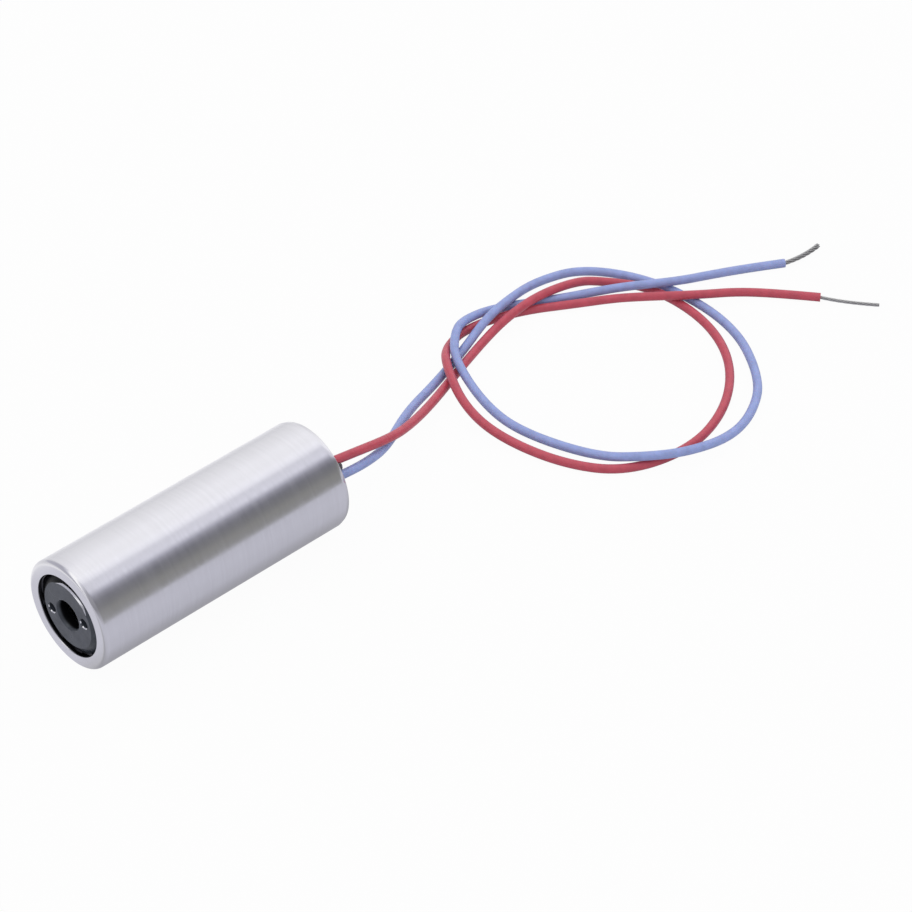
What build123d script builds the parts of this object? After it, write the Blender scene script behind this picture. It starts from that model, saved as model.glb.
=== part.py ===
from build123d import *
import math
import os

# Laser diode module: a turned tube that lies on its side, with a focusing lens barrel in its
# front bore, a laser diode and its driver board inside, and two knotted wires at its rear.
# Millimetres. The tube's axis runs along Y, the beam leaves towards -Y, and +Z is up.
# A station is a distance behind the tube's front face, and a height is counted from its axis.

# Laser diode package
flange_diameter = 5.6
flange_thickness = 1.2
flange_notch_width = 0.5
flange_notch_depth = 0.25
cap_diameter = 3.55
cap_wall = 0.2
cap_height = 2.3
cap_lip_width = 0.375
cap_lip_thickness = 0.25
cap_crown_chamfer = 0.12
cap_opening_diameter = 1.8
window_side_gap = 0.175
window_thickness = 0.25
lead_diameter = 0.45
lead_circle_radius = 1.0
lead_front_length = 0.9
lead_on_board_length = 1.5
glass_seal_diameter = 1.0
post_width = 1.2
post_length = 1.3
post_cap_gap = 0.425
submount_width = 0.5
submount_length = 0.8
submount_thickness = 0.15
laser_chip_width = 0.25
laser_chip_length = 0.5
laser_chip_thickness = 0.1
photodiode_side = 0.6
photodiode_thickness = 0.15
photodiode_height = -0.2
bond_ribbon_width = 0.05

# Tube
diode_seat_step = 0.5
rear_wall = 0.7
front_wall = 1.0
front_edge_round = 0.3
front_edge_flats = 3
rear_edge_chamfer = 0.2
bore_mouth_chamfer = 0.05
thread_relief_depth = 0.2
thread_relief_length = 0.8
web_thickness = 1.0
web_hole_clearance = 0.1
diode_seat_overlength = 0.3

# Lens barrel
focus_recess = 0.15
thread_clearance = 0.05
lens_barrel_length = 4.2
lens_barrel_edge_chamfer = 0.3
lens_barrel_wall = 0.65
aperture_diameter = 2.0
aperture_land = 0.35
countersink_width = 0.17
front_plate_thickness = 0.7
lens_seat_width = 0.55
lens_relief_depth = 0.4
spanner_hole_diameter = 0.8
spanner_hole_depth = 0.45
spanner_hole_land = 0.17
spanner_hole_angle = 13.5

# Lens and its ring
lens_clearance = 0.04
lens_rim_thickness = 0.8
lens_rise = 0.45
lens_rim_width = 0.5
ring_length = 0.8
ring_wall = 0.35
ring_edge_chamfer = 0.1

# Focus spring
spring_length = 2.65
spring_wire_diameter = 0.4
spring_wire_sides = 6
spring_side_gap = 0.15
spring_quarter_turns = 8
spring_bend_share = 0.97

# Driver board and what it carries
board_side_gap = 0.5
board_length = 7.8
board_corner_round = 0.3
board_lead_gap = 0.025
board_front_gap = 2.0
board_potting_gap = 0.6
transistor_length = 2.9
transistor_width = 1.3
transistor_thickness = 0.95
transistor_standoff = 0.05
transistor_edge_chamfer = 0.1
transistor_place_share = 0.41
leg_width = 0.4
leg_thickness = 0.12
leg_reach = 0.55
leg_pitch = 0.95
resistor_length = 1.6
resistor_width = 0.8
resistor_thickness = 0.45
resistor_side_gap = 0.7
resistor_place_share = 0.72
capacitor_length = 2.0
capacitor_width = 1.25
capacitor_thickness = 0.85
capacitor_place_share = 0.44
chip_edge_chamfer = 0.06
joint_sides = 6
lead_joint_radius = 0.55
lead_joint_length = 1.0
lead_joint_chamfer = 0.25
lead_end_past_joint = 0.15
wire_joint_radius = 0.42
wire_joint_length = 0.9
wire_joint_chamfer = 0.2
wire_joint_end_gap = 0.1

# Potting resin at the rear
potting_depth = 1.4
potting_clearance = 0.02
mound_height = 2.4
mound_centre = (0.35, -0.35)
mound_edge_margin = 0.15
mound_root_depth = 0.3
mound_flank_shares = [(1, 0), (0.66, 0.15), (0.4, 0.4), (0.25, 0.7), (0.17, 1)]

# Wires: a route's points are x, the distance behind the tube's rear rim, and the height above
# the surface that the module lies on. Each route starts in the resin and ends where the
# insulation does, and the bare tip follows.
wire_diameter = 0.66
conductor_diameter = 0.3
cord_sides = 6
cord_run_share = 0.45
tail_on_board_length = 0.9
tail_bend_gap = 0.1
red_route = [
    (0, -0.8, 4.5),
    (0, 1.6, 4.25),
    (-0.1, 4.3, 3.75),
    (-0.35, 6.9, 3.1),
    (-1.1, 9.4, 2.25),
    (-2.5, 13.4, 0.94),
    (-4.9, 18.6, 0.33),
    (-6.1, 22.5, 0.5),
    (-6.2, 24.6, 1.1),
    (-6.5, 27.8, 1.16),
    (-6.2, 31.6, 0.72),
    (-5.2, 33.4, 0.33),
    (-2.2, 35.5, 0.33),
    (3.1, 35.6, 0.33),
    (7.8, 33.5, 0.33),
    (11.3, 29.4, 0.33),
    (12.9, 24.3, 0.33),
    (11.6, 19, 0.33),
    (7.9, 16.3, 0.33),
    (2.8, 14.9, 0.55),
    (-0.5, 15, 1.16),
    (-5.2, 17.3, 1.26),
    (-7.2, 19.3, 0.5),
    (-8, 22, 0.33),
    (-6.9, 26.2, 0.33),
    (-4.5, 30, 0.39),
    (-2.8, 32.1, 0.72),
    (-1.2, 33.5, 1.04),
    (1.5, 36.6, 1.1),
    (2.7, 39.6, 0.5),
    (4.9, 41.9, 0.33),
    (7.2, 43.7, 0.33),
]
red_tip = [
    (7.2, 43.7, 0.33),
    (8.7, 44.5, 0.26),
    (10.7, 46.3, 0.2),
]
blue_route = [
    (0.8, -0.8, 3.5),
    (0.8, 1.7, 3.2),
    (0.6, 4.5, 2.75),
    (-0.6, 7.5, 2.02),
    (-2.8, 11.6, 1.2),
    (-4.75, 16, 0.33),
    (-6.2, 20, 0.33),
    (-7, 23, 1.16),
    (-7.6, 25.7, 1.16),
    (-8.4, 29.5, 0.55),
    (-7.3, 33.6, 0.33),
    (-2, 36.5, 0.33),
    (5.2, 36.6, 0.33),
    (10.9, 33.3, 0.33),
    (13.2, 29.9, 0.39),
    (14.2, 26.5, 0.77),
    (13.6, 22.9, 1.16),
    (12, 20.4, 1.16),
    (9.1, 18.4, 0.5),
    (3.5, 16.5, 0.44),
    (0, 16.2, 1.1),
    (-5.2, 18.2, 1.1),
    (-7.3, 20.2, 1.21),
    (-8.2, 21.8, 1.04),
    (-8.4, 25.2, 0.33),
    (-5.9, 29.5, 0.33),
    (-4.4, 31.7, 0.66),
    (-2.9, 33.4, 1.1),
    (-0.7, 36.7, 1.1),
    (-0.1, 39.7, 0.5),
    (1.1, 42.5, 0.33),
    (2.5, 44.9, 0.33),
]
blue_tip = [
    (2.5, 44.9, 0.33),
    (2.9, 46.6, 0.26),
    (2.6, 48.5, 0.2),
]

# How far cutting tools run past the faces they cut
overrun = 0.5

# Sizes across the tube that follow from those above
rear_bore_radius = flange_diameter / 2 + diode_seat_step
tube_radius = rear_bore_radius + rear_wall
lens_bore_radius = tube_radius - front_wall
lens_barrel_radius = lens_bore_radius - thread_clearance
lens_pocket_radius = lens_barrel_radius - lens_barrel_wall
lens_radius = lens_pocket_radius - lens_clearance
countersink_radius = aperture_diameter / 2 + countersink_width
spanner_hole_reach = countersink_radius + spanner_hole_land + spanner_hole_diameter / 2
spring_radius = lens_bore_radius - spring_side_gap - spring_wire_diameter / 2
cap_radius = cap_diameter / 2
cap_lip_radius = cap_radius + cap_lip_width
cap_inner_radius = cap_radius - cap_wall
web_hole_radius = cap_lip_radius + web_hole_clearance
post_top = cap_inner_radius - post_cap_gap
post_bottom = submount_thickness + laser_chip_thickness
board_width = 2 * (rear_bore_radius - board_side_gap)
board_top = lead_circle_radius - lead_diameter / 2 - board_lead_gap
board_bottom = -lead_circle_radius / 2 + lead_diameter / 2 + board_lead_gap
lead_angles = [90 + 120 * turn for turn in range(3)]

# Stations along the tube that follow from those above
lens_barrel_back = focus_recess + lens_barrel_length
lens_shoulder = focus_recess + front_plate_thickness + lens_relief_depth
lens_back = lens_shoulder + lens_rim_thickness
web_station = lens_barrel_back + spring_length
flange_front = web_station + web_thickness
flange_back = flange_front + flange_thickness
rear_bore_station = flange_back + diode_seat_overlength
cap_front = flange_front - cap_height
board_front = flange_back + board_front_gap
board_back = board_front + board_length
lead_end = board_front + lead_on_board_length
tube_length = board_back + board_potting_gap + potting_depth

# Where the tube's front face, rear rim and axis lie in the part
axis_height = tube_radius
front_y = -(tube_length + mound_height) / 2
rear_rim_y = front_y + tube_length


def placed(solid):
    """Moves a solid from (x, station, height) to its place in the part."""
    return Pos(0, front_y, axis_height) * solid


def turned(outline):
    """Solid turned about the tube's axis from (station, radius) points."""
    points = [(radius, station) for station, radius in outline]
    profile = make_face(Polyline(*points, close=True))
    return revolve(profile, Axis.Y)


def bar(radius, start, end, x=0, height=0):
    """Round bar along the tube's axis between two stations."""
    plane = Plane((x, start, height), x_dir=(1, 0, 0), z_dir=(0, 1, 0))
    return extrude(plane * Circle(radius), end - start)


def block(width, start, end, bottom, top, x=0):
    """Block between two stations and two heights."""
    centre = Pos(x, (start + end) / 2, (bottom + top) / 2)
    return centre * Box(width, end - start, top - bottom)


def rounded_edge(station, radius, size, flats):
    """Outline points of an outer edge at a front face, rounded by a number of flats."""
    points = []
    for step in range(flats + 1):
        turn = math.radians(90 * step / flats)
        points.append((station + size * (1 - math.sin(turn)), radius - size * (1 - math.cos(turn))))
    return points[::-1]


def on_lead_circle(angle):
    """(x, height) of a diode lead at an angle on the lead circle."""
    turn = math.radians(angle)
    return lead_circle_radius * math.cos(turn), lead_circle_radius * math.sin(turn)


def make_housing():
    """Tube: threaded front bore with a relief, web, diode seat and rear bore."""
    outer = tube_radius
    relief = lens_bore_radius + thread_relief_depth
    relief_front = web_station - thread_relief_length
    seat = flange_diameter / 2
    outline = [
        (0, lens_bore_radius + bore_mouth_chamfer),
        *rounded_edge(0, outer, front_edge_round, front_edge_flats),
        (tube_length - rear_edge_chamfer, outer),
        (tube_length, outer - rear_edge_chamfer),
        (tube_length, rear_bore_radius),
        (rear_bore_station, rear_bore_radius),
        (rear_bore_station, seat),
        (flange_front, seat),
        (flange_front, web_hole_radius),
        (web_station, web_hole_radius),
        (web_station, relief),
        (relief_front + thread_relief_depth, relief),
        (relief_front, lens_bore_radius),
        (bore_mouth_chamfer, lens_bore_radius),
    ]
    return turned(outline)


def make_lens_barrel():
    """Focusing ring: countersunk aperture, lens pocket and two holes for a spanner."""
    front = focus_recess
    chamfer = lens_barrel_edge_chamfer
    aperture = aperture_diameter / 2
    plate_back = front + front_plate_thickness
    relief = lens_pocket_radius - lens_seat_width
    outline = [
        (front, countersink_radius),
        (front, lens_barrel_radius - chamfer),
        (front + chamfer, lens_barrel_radius),
        (lens_barrel_back, lens_barrel_radius),
        (lens_barrel_back, lens_pocket_radius),
        (lens_shoulder, lens_pocket_radius),
        (lens_shoulder, relief),
        (plate_back, relief),
        (plate_back, aperture),
        (plate_back - aperture_land, aperture),
    ]
    ring = turned(outline)
    for side in (0, 180):
        turn = math.radians(spanner_hole_angle + side)
        x = spanner_hole_reach * math.cos(turn)
        height = spanner_hole_reach * math.sin(turn)
        ring -= bar(spanner_hole_diameter / 2, front - overrun, front + spanner_hole_depth, x, height)
    return ring


def make_lens():
    """Plano-convex collimating lens with a flat rim and its dome towards the front."""
    half = lens_radius - lens_rim_width
    radius = (half * half + lens_rise * lens_rise) / (2 * lens_rise)
    turn = math.asin(half / radius) / 2
    pole = (0, lens_shoulder - lens_rise)
    middle = (radius * math.sin(turn), pole[1] + radius * (1 - math.cos(turn)))
    edge = (half, lens_shoulder)
    dome = ThreePointArc(pole, middle, edge)
    rim = (lens_radius, lens_shoulder)
    back = (lens_radius, lens_back)
    sides = Polyline(edge, rim, back, (0, lens_back), pole)
    return revolve(make_face([dome, sides]), Axis.Y)


def make_lens_ring():
    """Ring pressed into the pocket behind the lens."""
    back = lens_back + ring_length
    opening = lens_pocket_radius - ring_wall
    outline = [
        (lens_back, opening),
        (lens_back, lens_pocket_radius),
        (back - ring_edge_chamfer, lens_pocket_radius),
        (back, lens_pocket_radius - ring_edge_chamfer),
        (back, opening + ring_edge_chamfer),
        (back - ring_edge_chamfer, opening),
    ]
    return turned(outline)


def make_spring():
    """Compression spring that stands between the lens barrel and the web."""
    wire = spring_wire_diameter
    radius = spring_radius
    rise = (web_station - lens_barrel_back - wire) / spring_quarter_turns
    start = lens_barrel_back + wire / 2
    end = web_station - wire / 2
    points = [(radius, start, 0)]
    for quarter in range(spring_quarter_turns):
        turn = math.radians(45 + 90 * quarter)
        corner = radius * math.sqrt(2)
        station = start + rise * (quarter + 1 / 2)
        points.append((corner * math.cos(turn), station, corner * math.sin(turn)))
    last = math.radians(90 * spring_quarter_turns)
    points.append((radius * math.cos(last), end, radius * math.sin(last)))
    path = FilletPolyline(*points, radius=radius * spring_bend_share)
    return sweep(section_on(path, wire, spring_wire_sides), path=path)


def make_stem():
    """Diode flange with its notches, and the post that carries the laser chip."""
    edge = flange_diameter / 2
    stem = bar(edge, flange_front, flange_back)
    for angle in (0, 90, 180):
        notch = block(
            2 * flange_notch_depth,
            flange_front - overrun,
            flange_back + overrun,
            -flange_notch_width / 2,
            flange_notch_width / 2,
            edge,
        )
        stem -= Rot(Y=-angle) * notch
    for angle in lead_angles[1:]:
        x, height = on_lead_circle(angle)
        stem -= bar(glass_seal_diameter / 2, flange_front - overrun, flange_back + overrun, x, height)
    return stem + block(post_width, flange_front - post_length, flange_front, post_bottom, post_top)


def make_cap():
    """Drawn metal cap with a welded lip and an opening for the beam."""
    outline = [
        (cap_front, cap_opening_diameter / 2),
        (cap_front, cap_radius - cap_crown_chamfer),
        (cap_front + cap_crown_chamfer, cap_radius),
        (flange_front - cap_lip_thickness, cap_radius),
        (flange_front - cap_lip_thickness, cap_lip_radius),
        (flange_front, cap_lip_radius),
        (flange_front, cap_inner_radius),
        (cap_front + cap_wall, cap_inner_radius),
        (cap_front + cap_wall, cap_opening_diameter / 2),
    ]
    return turned(outline)


def make_window():
    """Flat glass sealed behind the cap's opening."""
    back = cap_front + cap_wall
    return bar(cap_inner_radius - window_side_gap, back, back + window_thickness)


def make_submount():
    """Heat spreader under the post, flush with its front end."""
    front = flange_front - post_length
    bottom = post_bottom - submount_thickness
    return block(submount_width, front, front + submount_length, bottom, post_bottom)


def make_laser_chip():
    """Laser chip under the heat spreader, with its emitting edge at the front."""
    front = flange_front - post_length
    top = post_bottom - submount_thickness
    return block(laser_chip_width, front, front + laser_chip_length, top - laser_chip_thickness, top)


def make_photodiode():
    """Monitor photodiode on the flange behind the laser chip."""
    half = photodiode_side / 2
    front = flange_front - photodiode_thickness
    bottom = photodiode_height - half
    return block(photodiode_side, front, flange_front, bottom, photodiode_height + half)


def make_bond_wires():
    """Two bent ribbons, each from a chip to the end of a diode lead."""
    lead_front = flange_front - lead_front_length
    chip_front = flange_front - post_length
    chip_bottom = post_bottom - submount_thickness - laser_chip_thickness
    starts = [
        ((0, chip_front + laser_chip_length / 2, chip_bottom), lead_angles[2]),
        ((0, flange_front - photodiode_thickness, photodiode_height), lead_angles[1]),
    ]
    wires = []
    for start, angle in starts:
        x, height = on_lead_circle(angle)
        end = (x, lead_front, height)
        crown = min(start[1], lead_front) - lead_diameter
        middle = (x / 2, crown, (start[2] + height) / 2 - lead_diameter / 2)
        path = Polyline(start, middle, end)
        ribbon = Plane(path @ 0, z_dir=path % 0) * Rectangle(bond_ribbon_width, bond_ribbon_width)
        wires.append(sweep(ribbon, path=path, transition=Transition.RIGHT))
    return Compound(wires)


def make_lead(index):
    """Diode lead: the first is welded to the flange's back, the others pass through glass."""
    x, height = on_lead_circle(lead_angles[index])
    start = flange_back if index == 0 else flange_front - lead_front_length
    return bar(lead_diameter / 2, start, lead_end, x, height)


def make_glass_seals():
    """Glass beads that hold two leads in the flange."""
    beads = []
    for angle in lead_angles[1:]:
        x, height = on_lead_circle(angle)
        bead = bar(glass_seal_diameter / 2, flange_front, flange_back, x, height)
        beads.append(bead - bar(lead_diameter / 2, flange_front - overrun, flange_back + overrun, x, height))
    return Compound(beads)


def make_board():
    """Driver board between the diode leads."""
    board = block(board_width, board_front, board_back, board_bottom, board_top)
    return fillet(board.edges().filter_by(Axis.Z), board_corner_round)


def transistor_station():
    """Station of the transistor's middle."""
    return board_front + board_length * transistor_place_share


def make_transistor():
    """Moulded transistor body on the board's top face."""
    middle = transistor_station()
    bottom = board_top + transistor_standoff
    body = block(
        transistor_length,
        middle - transistor_width / 2,
        middle + transistor_width / 2,
        bottom,
        bottom + transistor_thickness,
    )
    return chamfer(body.edges().filter_by(Axis.Z, reverse=True), transistor_edge_chamfer)


def make_leg(x, side):
    """Bent leg that leaves the transistor's flank and stands on the board."""
    flank = transistor_station() + side * transistor_width / 2
    exit_height = board_top + transistor_standoff + transistor_thickness / 2
    middle = flank + side * leg_reach / 2
    shelf = block(leg_width, *sorted((flank, middle)), exit_height, exit_height + leg_thickness, x)
    shin_end = middle - side * leg_thickness
    shin = block(leg_width, *sorted((shin_end, middle)), board_top, exit_height + leg_thickness, x)
    foot_end = flank + side * leg_reach
    foot = block(leg_width, *sorted((shin_end, foot_end)), board_top, board_top + leg_thickness, x)
    return shelf + shin + foot


def make_transistor_legs():
    """Two legs on the front flank and one on the rear."""
    return Compound([make_leg(-leg_pitch, -1), make_leg(leg_pitch, -1), make_leg(0, 1)])


def make_chip(length, width, bottom, top, x, station):
    """Ceramic chip part that lies along the board, with bevelled edges."""
    chip = block(width, station - length / 2, station + length / 2, bottom, top, x)
    return chamfer(chip.edges().filter_by(Axis.Y), chip_edge_chamfer)


def make_resistors():
    """Three chip resistors: two on the board's top face and one under it."""
    station = board_front + board_length * resistor_place_share
    top = board_top + resistor_thickness
    bottom = board_bottom - resistor_thickness
    half_spread = board_width / 2 - resistor_side_gap - resistor_width / 2
    return Compound([
        make_chip(resistor_length, resistor_width, board_top, top, -half_spread, station),
        make_chip(resistor_length, resistor_width, board_top, top, half_spread, station),
        make_chip(resistor_length, resistor_width, bottom, board_bottom, -half_spread, station),
    ])


def make_capacitor():
    """Chip capacitor under the board."""
    bottom = board_bottom - capacitor_thickness
    station = board_front + board_length * capacitor_place_share
    return make_chip(capacitor_length, capacitor_width, bottom, board_bottom, 0, station)


def solder_drop(radius, start, end, bevel, x, height):
    """Long drop of solder between two stations, with bevelled ends."""
    plane = Plane((x, start, height), x_dir=(1, 0, 0), z_dir=(0, 1, 0))
    drop = extrude(plane * RegularPolygon(radius, joint_sides), end - start)
    return chamfer(drop.edges().filter_by(Axis.Y, reverse=True), bevel)


def make_lead_joints():
    """Solder that wraps each lead's end on the board."""
    end = lead_end - lead_end_past_joint
    start = end - lead_joint_length
    joints = []
    for index, angle in enumerate(lead_angles):
        x, height = on_lead_circle(angle)
        face = board_top if index == 0 else board_bottom
        drop = solder_drop(lead_joint_radius, start, end, lead_joint_chamfer, x, face)
        joints.append(drop - make_board() - make_lead(index))
    return Compound([solid for joint in joints for solid in joint.solids()])


def section_on(path, diameter, sides=cord_sides):
    """Section of a wire, with flats all round, that stands on the start of a path."""
    return Plane(path @ 0, z_dir=path % 0) * RegularPolygon(diameter / 2, sides)


def behind_rim(points):
    """Places of a route's points in the part."""
    return [(x, rear_rim_y + distance, height) for x, distance, height in points]


def cord_radii(points):
    """Radius of the arc at each inner point of a cord's route."""
    radii = []
    for before, here, after in zip(points, points[1:], points[2:]):
        first = Vector(*here) - Vector(*before)
        second = Vector(*after) - Vector(*here)
        half_turn = math.radians(first.get_angle(second) / 2)
        radii.append(cord_run_share * min(first.length, second.length) / math.tan(half_turn))
    return radii


def make_cord(points, diameter):
    """Tube along straight runs that tangent arcs join."""
    path = FilletPolyline(*points, radius=cord_radii(points))
    return sweep(section_on(path, diameter), path=path)


def make_tail(route, height):
    """Bare conductor that lies along the board's end at a height, up to its insulation."""
    x = route[0][0]
    end = front_y + board_back
    on_board = (x, end - tail_on_board_length, axis_height + height)
    bend = (x, end + tail_bend_gap, axis_height + height)
    return make_cord([on_board, bend, route[0]], conductor_diameter)


def make_wire_joints(tails):
    """Solder that holds each conductor on the board's end."""
    end = board_back - wire_joint_end_gap
    start = end - wire_joint_length
    joints = []
    for route, face, tail in zip((red_line, blue_line), (board_top, board_bottom), tails):
        drop = solder_drop(wire_joint_radius, start, end, wire_joint_chamfer, route[0][0], face)
        joints.append(placed(drop - make_board()) - tail)
    return Compound([solid for joint in joints for solid in joint.solids()])


def make_potting(wires, tails):
    """Resin plug in the rear bore with a drawn-up mound round the wires."""
    radius = rear_bore_radius - potting_clearance
    plug = bar(radius, tube_length - potting_depth, tube_length)
    x, height = mound_centre
    reach = radius - mound_edge_margin - math.hypot(x, height)
    root = tube_length - mound_root_depth
    tip = tube_length + mound_height
    flank = [(tube_length + mound_height * rise, reach * wide) for wide, rise in mound_flank_shares]
    mound = Pos(x, 0, height) * turned([(root, 0), (root, reach), *flank, (tip, 0)])
    resin = placed(plug + mound)
    for piece in (*wires, *tails):
        resin -= piece
    return resin


def print_route(name, points, diameter, solid):
    """Prints a cord's length, its arcs' radii and how true its volume is."""
    path = FilletPolyline(*points, radius=cord_radii(points))
    length = path.length
    plain_volume = section_on(path, diameter).area * length
    radii = [round(radius, 1) for radius in cord_radii(points)]
    print(name, "length", round(length, 2), "volume share", round(solid.volume / plain_volume, 4))
    print(name, "radii", radii)


red_line = behind_rim(red_route)
blue_line = behind_rim(blue_route)
red_wire = make_cord(red_line, wire_diameter)
blue_wire = make_cord(blue_line, wire_diameter)
conductor_tails = [
    make_tail(red_line, board_top + conductor_diameter / 2),
    make_tail(blue_line, board_bottom - conductor_diameter / 2),
]

pieces = {
    "housing": placed(make_housing()),
    "lens_barrel": placed(make_lens_barrel()),
    "collimating_lens": placed(make_lens()),
    "lens_retaining_ring": placed(make_lens_ring()),
    "focus_spring": placed(make_spring()),
    "diode_stem": placed(make_stem()),
    "diode_cap": placed(make_cap()),
    "diode_window": placed(make_window()),
    "chip_submount": placed(make_submount()),
    "laser_chip": placed(make_laser_chip()),
    "monitor_photodiode": placed(make_photodiode()),
    "bond_wires": placed(make_bond_wires()),
    "lead_glass_seals": placed(make_glass_seals()),
    "driver_board": placed(make_board()),
    "driver_transistor": placed(make_transistor()),
    "transistor_legs": placed(make_transistor_legs()),
    "chip_resistors": placed(make_resistors()),
    "filter_capacitor": placed(make_capacitor()),
    "lead_solder_joints": placed(make_lead_joints()),
    "wire_solder_joints": make_wire_joints(conductor_tails),
    "conductor_tails": Compound(conductor_tails),
    "rear_potting": make_potting([red_wire, blue_wire], conductor_tails),
    "red_wire": red_wire,
    "blue_wire": blue_wire,
    "red_wire_tip": make_cord(behind_rim(red_tip), conductor_diameter),
    "blue_wire_tip": make_cord(behind_rim(blue_tip), conductor_diameter),
}
for index in range(len(lead_angles)):
    pieces[f"diode_lead_{index + 1}"] = placed(make_lead(index))

print_route("red_wire", red_line, wire_diameter, red_wire)
print_route("blue_wire", blue_line, wire_diameter, blue_wire)

os.makedirs("parts", exist_ok=True)
for name, solid in pieces.items():
    export_step(solid, f"parts/{name}.step")
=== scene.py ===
"""Looks of a laser diode module: a turned tube, its focusing barrel, resin and two wires."""
import math

import bmesh
import bpy
from bpy.props import FloatProperty, FloatVectorProperty, IntProperty, PointerProperty
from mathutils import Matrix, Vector, noise


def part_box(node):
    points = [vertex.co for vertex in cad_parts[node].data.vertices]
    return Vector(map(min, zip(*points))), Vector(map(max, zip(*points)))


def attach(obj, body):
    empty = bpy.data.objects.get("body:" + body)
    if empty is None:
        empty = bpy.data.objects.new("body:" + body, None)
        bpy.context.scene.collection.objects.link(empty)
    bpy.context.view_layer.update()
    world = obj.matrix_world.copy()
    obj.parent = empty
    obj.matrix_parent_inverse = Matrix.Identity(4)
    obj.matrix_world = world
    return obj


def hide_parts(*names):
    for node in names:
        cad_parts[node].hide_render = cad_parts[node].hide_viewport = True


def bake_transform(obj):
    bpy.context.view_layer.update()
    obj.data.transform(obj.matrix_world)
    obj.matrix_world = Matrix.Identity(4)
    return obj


bl_info = {
    "name": "Laser Diode Module",
    "version": (1, 0, 0),
    "blender": (4, 5, 0),
    "location": "View3D > Sidebar > Laser Module",
    "description": "Builds the visible pieces of a laser diode module round its CAD frame",
    "category": "Add Mesh",
}

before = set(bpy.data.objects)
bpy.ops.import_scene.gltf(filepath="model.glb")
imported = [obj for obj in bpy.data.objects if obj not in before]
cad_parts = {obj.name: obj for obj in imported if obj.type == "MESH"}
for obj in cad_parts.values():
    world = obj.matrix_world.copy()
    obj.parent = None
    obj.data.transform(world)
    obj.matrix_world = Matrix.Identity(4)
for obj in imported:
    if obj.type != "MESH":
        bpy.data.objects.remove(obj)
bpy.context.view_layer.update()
MM = 0.001
MILLIMETRES = (1 / MM, 1 / MM, 1 / MM)

# Boxes of the CAD pieces, and the sizes that the turned pieces share.
TUBE_LOW, TUBE_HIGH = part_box("housing")
BARREL_LOW, BARREL_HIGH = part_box("lens_barrel")
LENS_LOW, LENS_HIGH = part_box("collimating_lens")
SPRING_LOW, SPRING_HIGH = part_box("focus_spring")
STEM_LOW, STEM_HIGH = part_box("diode_stem")
RESIN_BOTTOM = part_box("rear_potting")[0].y
AXIS_HEIGHT = (TUBE_LOW.z + TUBE_HIGH.z) / 2
TUBE_RADIUS = (TUBE_HIGH.z - TUBE_LOW.z) / 2
BORE_RADIUS = TUBE_RADIUS - 1.0 * MM
REAR_BORE_RADIUS = TUBE_RADIUS - 0.7 * MM
FLANGE_RADIUS = 2.8 * MM
FLANGE_FRONT = STEM_LOW.y + 1.3 * MM
WEB_FRONT = FLANGE_FRONT - 1.0 * MM
WEB_HOLE_RADIUS = 2.25 * MM
BARREL_RADIUS = (BARREL_HIGH.z - BARREL_LOW.z) / 2
BARREL_FACE = BARREL_LOW.y - 0.1 * MM
BARREL_FACE_RADIUS = BARREL_RADIUS - 0.54 * MM
APERTURE_RADIUS = 1.0 * MM
LENS_RADIUS = (LENS_HIGH.z - LENS_LOW.z) / 2
LENS_RISE = 0.45 * MM
SPRING_RADIUS = 2.65 * MM
SPRING_WIRE_RADIUS = 0.19 * MM
SPRING_TURNS = 2
RESIN_RADIUS = 3.28 * MM

# Where the barrel's front edge and the mouths of its spanner holes are bright bare metal, in degrees from
# +X towards +Z; partly wear, partly a painted highlight, as the bare metal lies only where a highlight
# falls. The front edge is row 4 of barrel_outline, counted from 0.
WEAR_AND_GLINT_ROW = 4
WEAR_AND_GLINT_MIDDLE = 73
WEAR_AND_GLINT_REACH = 40
WEAR_AND_GLINT_FADE = 14
WEAR_AND_GLINT_HOLE_BEARINGS = [(174, 200), (235, 308)]

# Height of the resin's mound above the tube's rim, in millimetres, at a distance from its middle.
MOUND_HEIGHTS = [
    (0, 2.4),
    (0.3, 2.36),
    (0.45, 2.18),
    (0.6, 1.75),
    (0.8, 1.32),
    (1.05, 0.96),
    (1.5, 0.53),
    (2.0, 0.23),
    (2.6, 0.04),
    (3.3, 0.0),
    (9, 0.0),
]

# Routes of the wires and of their bare tips, from inside the resin outwards.
RED_ROUTE = [
    (0.0, 0.0085, 0.0045),
    (0.0002, 0.0109, 0.0042),
    (0.0001, 0.0136, 0.00365),
    (-0.0001, 0.0162, 0.003),
    (-0.0008, 0.0187, 0.00215),
    (-0.0026, 0.0227, 0.00095),
    (-0.0049, 0.0279, 0.00033),
    (-0.0061, 0.0318, 0.0005),
    (-0.0062, 0.0339, 0.0011),
    (-0.0065, 0.0371, 0.00116),
    (-0.0062, 0.0409, 0.00072),
    (-0.0052, 0.0427, 0.00033),
    (-0.0022, 0.0448, 0.00033),
    (0.0031, 0.0449, 0.00033),
    (0.0078, 0.0428, 0.00033),
    (0.0113, 0.0387, 0.00033),
    (0.0129, 0.0336, 0.00033),
    (0.0116, 0.0283, 0.00033),
    (0.0079, 0.0256, 0.00033),
    (0.0028, 0.0242, 0.00055),
    (-0.0009, 0.0243, 0.00119),
    (-0.0052, 0.0266, 0.00129),
    (-0.0072, 0.0286, 0.0005),
    (-0.008, 0.0313, 0.00033),
    (-0.0069, 0.0355, 0.00033),
    (-0.0045, 0.0393, 0.00039),
    (-0.0028, 0.0414, 0.00072),
    (-0.0012, 0.0428, 0.00104),
    (0.0015, 0.0459, 0.0011),
    (0.0027, 0.0489, 0.0005),
    (0.0049, 0.0512, 0.00033),
    (0.0072, 0.053, 0.00033),
]
RED_TIP = [
    (0.0072, 0.053, 0.00033),
    (0.0087, 0.0538, 0.00026),
    (0.0107, 0.0556, 0.0002),
]
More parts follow.
